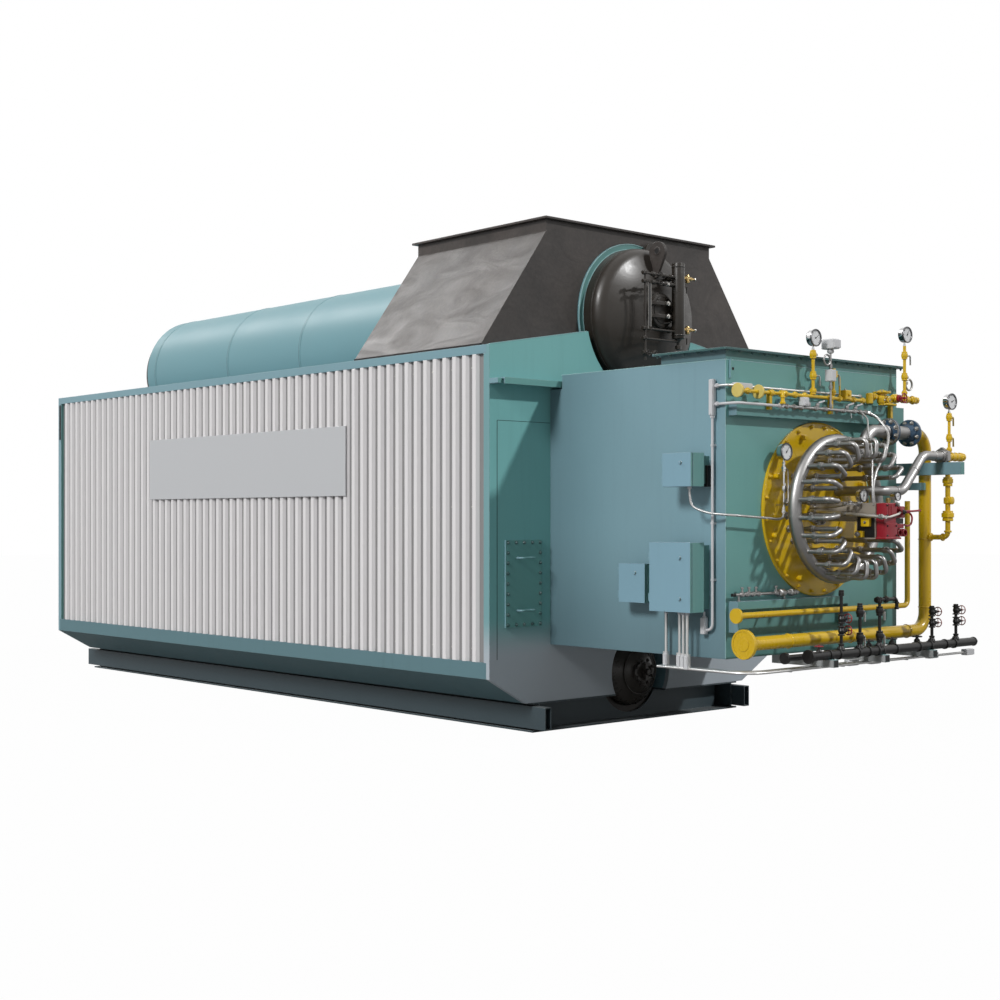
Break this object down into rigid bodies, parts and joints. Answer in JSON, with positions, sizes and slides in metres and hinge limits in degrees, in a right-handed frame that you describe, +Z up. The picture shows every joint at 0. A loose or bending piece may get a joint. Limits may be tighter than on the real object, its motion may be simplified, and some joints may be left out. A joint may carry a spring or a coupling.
{
  "type": "industrial boiler",
  "caption": "Packaged watertube boiler on a skid: ribbed casing, lagged steam drum, flue hood, windbox with ring burner, gas piping and control cabinets with hinged doors.",
  "frame": {"origin": "on the ground under the middle of the skid, at the underside of the middle cross member", "axes": "+X to the right seen from the burner front, +Y from the burner front to the rear, +Z up"},
  "size_m": [3.548, 10.414, 4.28],
  "materials": {
    "actuator_red": "gloss red enamel",
    "board_white": "smooth pale sign board",
    "brass": "dull brass",
    "cabinet_paint": "smooth blue-green powder coat",
    "drum_black": "semi-matt black boiler paint",
    "flange_blue": "gloss dark blue enamel",
    "galvanised": "galvanised conduit",
    "gas_yellow": "gloss yellow enamel",
    "gun_grey": "taupe enamel",
    "hood_paint": "dull dark brown heat-proof paint",
    "lagging_sheet": "pale blue-green lagging sheet",
    "pipe_black": "matt black paint",
    "ribbed_sheet": "warm grey coated ribbed sheet",
    "skid_paint": "dark grey-green enamel on rolled sections",
    "stainless": "drawn stainless tube",
    "teal_paint": "satin blue-green enamel, light dust",
    "teal_shade": "satin dark blue-green enamel"
  },
  "bodies": {
    "boiler": {"access_plate": "teal_paint", "air_inlet": "teal_paint", "bend_pipe": "stainless", "bracket_arm": "teal_shade", "branch_riser": "gas_yellow", "burner_actuator": "actuator_red", "burner_gun": "gun_grey", "burner_hoses": "stainless", "burner_plate": "gas_yellow", "casing_body": "teal_paint", "conduit_corner": "galvanised", "conduits_front": "galvanised", "conduits_side": "galvanised", "cross_member_front": "skid_paint", "cross_member_rear": "skid_paint", "cross_members_inner": "skid_paint", "drain_lines": "pipe_black", "drain_valves": "pipe_black", "drum_lagging": "lagging_sheet", "drum_lifting_lug": "drum_black", "flue_flange": "hood_paint", "flue_hood": "hood_paint", "front_ledge": "teal_paint", "front_shelves": "teal_shade", "front_wall": "teal_paint", "gas_header": "gas_yellow", "gas_injectors": "stainless", "gas_ring": "stainless", "gas_riser": "gas_yellow", "gas_spool": "flange_blue", "gauge_cocks": "brass", "main_cabinet": "cabinet_paint", "mud_drum": "drum_black", "mud_drum_head_front": "drum_black", "mud_drum_head_rear": "drum_black", "pilot_gas_line": "gas_yellow", "pressure_gauges": "stainless", "rear_wall": "teal_paint", "roof_left": "teal_paint", "roof_right": "teal_paint", "side_board": "board_white", "side_cladding_left": "ribbed_sheet", "side_cladding_right": "ribbed_sheet", "skid_beam_left": "skid_paint", "skid_beam_right": "skid_paint", "skirt_left": "teal_paint", "skirt_right": "teal_paint", "small_cabinet": "cabinet_paint", "small_header": "gas_yellow", "steam_drum": "drum_black", "steam_drum_head_front": "drum_black", "steam_drum_head_rear": "drum_black", "steel_line": "stainless", "support_arms": "teal_shade", "upper_cabinet": "cabinet_paint", "water_column": "drum_black", "windbox": "teal_paint"},
    "main_door": {"main_cabinet_door": "cabinet_paint"},
    "upper_door": {"upper_cabinet_door": "cabinet_paint"},
    "small_door": {"small_cabinet_door": "cabinet_paint"}
  },
  "joints": [
    {"name": "main_door_hinge", "type": "hinge", "parent": "boiler", "child": "main_door", "pos_m": [-1.318, -5.113, 1.319], "axis": [0, 0, -1], "range_deg": [0, 110]},
    {"name": "upper_door_hinge", "type": "hinge", "parent": "boiler", "child": "upper_door", "pos_m": [-1.31, -5.237, 2.118], "axis": [0, 0, -1], "range_deg": [0, 110]},
    {"name": "small_door_hinge", "type": "hinge", "parent": "boiler", "child": "small_door", "pos_m": [-1.24, -4.72, 1.26], "axis": [0, 0, -1], "range_deg": [0, 110]}
  ]
}
